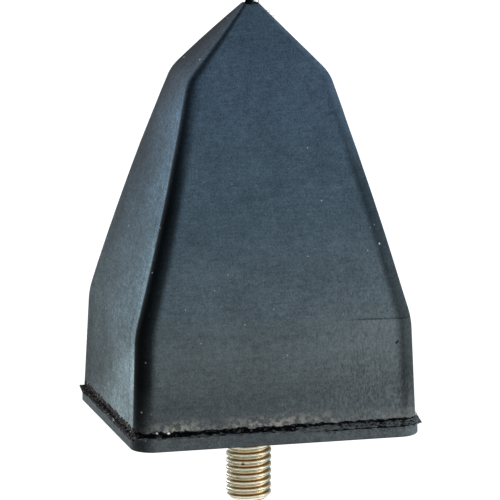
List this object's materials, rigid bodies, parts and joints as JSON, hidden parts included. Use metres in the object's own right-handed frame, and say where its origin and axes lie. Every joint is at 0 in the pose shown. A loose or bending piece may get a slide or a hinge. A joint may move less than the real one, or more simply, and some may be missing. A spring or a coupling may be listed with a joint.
{
  "type": "rubber buffer",
  "caption": "Rubber buffer stop: a tall tapered block of black moulded rubber on a flanged rectangular foot, with a steel base plate and a threaded stud below it.",
  "frame": {"origin": "centre of the underside of the foot, on the stud's axis", "axes": "+Z along the stud's axis from the stud up to the tip, +X along the long side of the base, -Y out of the broad front face"},
  "size_m": [0.0531, 0.0412, 0.0887],
  "materials": {
    "black_rubber": "moulded black natural rubber, matt with a grey-blue bloom and dust",
    "plate_steel": "punched sheet steel, dull zinc plated",
    "yellow_zinc_steel": "rolled thread, yellow passivated zinc plate"
  },
  "bodies": {
    "root": {"rubber_body": "black_rubber", "base_plate": "plate_steel", "threaded_stud": "yellow_zinc_steel"}
  },
  "joints": []
}
